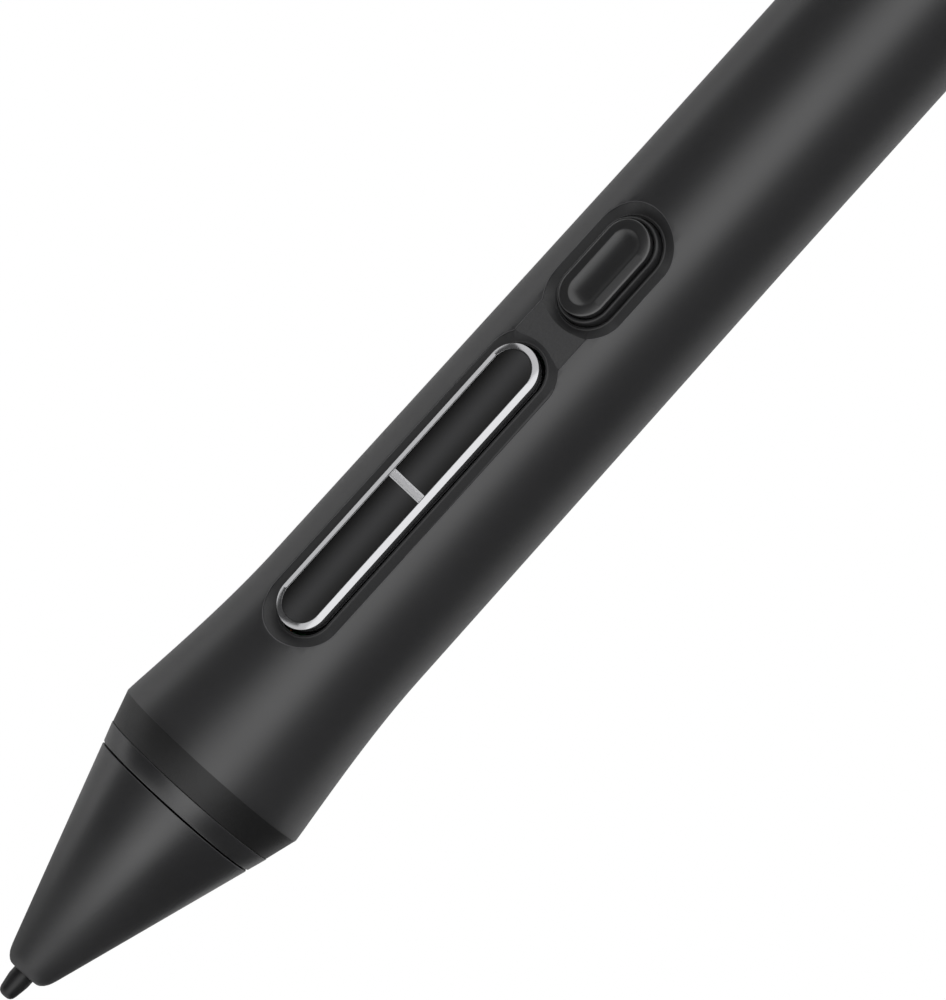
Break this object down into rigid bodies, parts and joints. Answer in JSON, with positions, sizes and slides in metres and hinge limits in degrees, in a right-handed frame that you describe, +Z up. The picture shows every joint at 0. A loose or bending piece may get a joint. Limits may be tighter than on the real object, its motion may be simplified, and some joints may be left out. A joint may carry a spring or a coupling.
{
  "type": "digitiser stylus",
  "caption": "Thick-gripped drawing stylus with a screw-on nose cone, pressure-sensing nib, two-way rocker switch and a separate upper side button.",
  "frame": {"origin": "tip of the nib, on the pen's axis", "axes": "+Z up the pen's axis from the nib to the tail; the side buttons face -Y; +X completes the frame"},
  "size_m": [0.015, 0.015, 0.16],
  "materials": {
    "satin_plastic": "satin moulded polycarbonate blend, fine spark texture",
    "grip_rubber": "soft-touch silicone rubber, satin, with a rougher front lip",
    "surround_plastic": "matte moulded plastic",
    "barrel_plastic": "moulded plastic, plain",
    "frame_plastic": "moulded plastic, plain",
    "former_plastic": "natural moulded plastic",
    "nib_plastic": "black acetal, smooth",
    "chrome_trim": "bright plated plastic with a bevelled edge",
    "pad_plastic": "fine matte plastic",
    "gloss_plastic": "polished black plastic",
    "cap_plastic": "satin plastic",
    "switch_button_plastic": "moulded plastic",
    "switch_shell": "stamped steel cover",
    "chip_epoxy": "moulded epoxy",
    "capacitor_ceramic": "glazed ceramic",
    "board_laminate": "glass-epoxy laminate with green solder mask",
    "foam": "closed-cell foam",
    "sensor_ceramic": "ceramic disc with silvered faces",
    "steel": "turned steel",
    "spring_steel": "drawn spring wire",
    "copper_wire": "enamelled copper wire",
    "ferrite": "sintered ferrite, dark grey"
  },
  "bodies": {
    "barrel": {"inner_barrel": "barrel_plastic", "grip_sleeve": "grip_rubber", "switch_surround": "surround_plastic", "rear_barrel": "satin_plastic", "tail_cap": "satin_plastic", "rocker_pin": "steel", "board_frame": "frame_plastic", "circuit_board": "board_laminate", "board_screws": "steel", "front_switch": "switch_shell", "rear_switch": "switch_shell", "upper_switch": "switch_shell", "controller_chip": "chip_epoxy", "board_capacitors": "capacitor_ceramic", "board_cushion": "foam", "board_stop": "frame_plastic", "sensor_housing": "frame_plastic", "pressure_sensor": "sensor_ceramic", "nib_spring": "spring_steel", "coil_former": "former_plastic", "coil_winding": "copper_wire", "coil_leads": "copper_wire", "ferrite_core": "ferrite"},
    "front_ring": {"front_ring": "satin_plastic"},
    "nose_cone": {"nose_cone": "satin_plastic"},
    "nib_holder": {"nib_holder": "former_plastic"},
    "nib": {"nib": "nib_plastic"},
    "rocker": {"rocker_carrier": "frame_plastic", "rocker_trim": "chrome_trim", "front_pad": "pad_plastic", "rear_pad": "pad_plastic"},
    "upper_button": {"upper_core": "frame_plastic", "upper_skirt": "gloss_plastic", "upper_cap": "cap_plastic"},
    "upper_switch_button": {"upper_switch_button": "switch_button_plastic"}
  },
  "joints": [
    {"name": "nose_advance", "type": "slide", "parent": "barrel", "child": "front_ring", "axis": [0, 0, -1], "range_m": [0, 0.00375]},
    {"name": "nose_unscrew", "type": "hinge", "parent": "front_ring", "child": "nose_cone", "pos_m": [0, 0, 0.01495], "axis": [0, 0, -1], "range_deg": [0, 1805]},
    {"name": "nib_press", "type": "slide", "parent": "barrel", "child": "nib_holder", "axis": [0, 0, 1], "range_m": [0, 0.0003], "stiffness_N_per_m": 1500, "springref_m": -0.0001, "deforming": ["nib_spring"]},
    {"name": "nib_pull", "type": "slide", "parent": "nib_holder", "child": "nib", "axis": [0, 0, -1], "range_m": [0, 0.022]},
    {"name": "rocker_tilt", "type": "hinge", "parent": "barrel", "child": "rocker", "pos_m": [0, -0.0045, 0.04335], "axis": [1, 0, 0], "range_deg": [-1.8, 1.8], "stiffness_Nm_per_rad": 0.3},
    {"name": "upper_press", "type": "slide", "parent": "barrel", "child": "upper_button", "axis": [0, 1, 0], "range_m": [0, 0.0003], "stiffness_N_per_m": 3000, "springref_m": -0.00005},
    {"name": "upper_switch_press", "type": "slide", "parent": "barrel", "child": "upper_switch_button", "axis": [0, 1, 0], "range_m": [0, 0.0003]}
  ],
  "couplings": [
    {"joint": "nose_unscrew", "follows": "nose_advance", "rad_per_m": 8377.6},
    {"joint": "upper_switch_press", "follows": "upper_press", "ratio": 1}
  ]
}
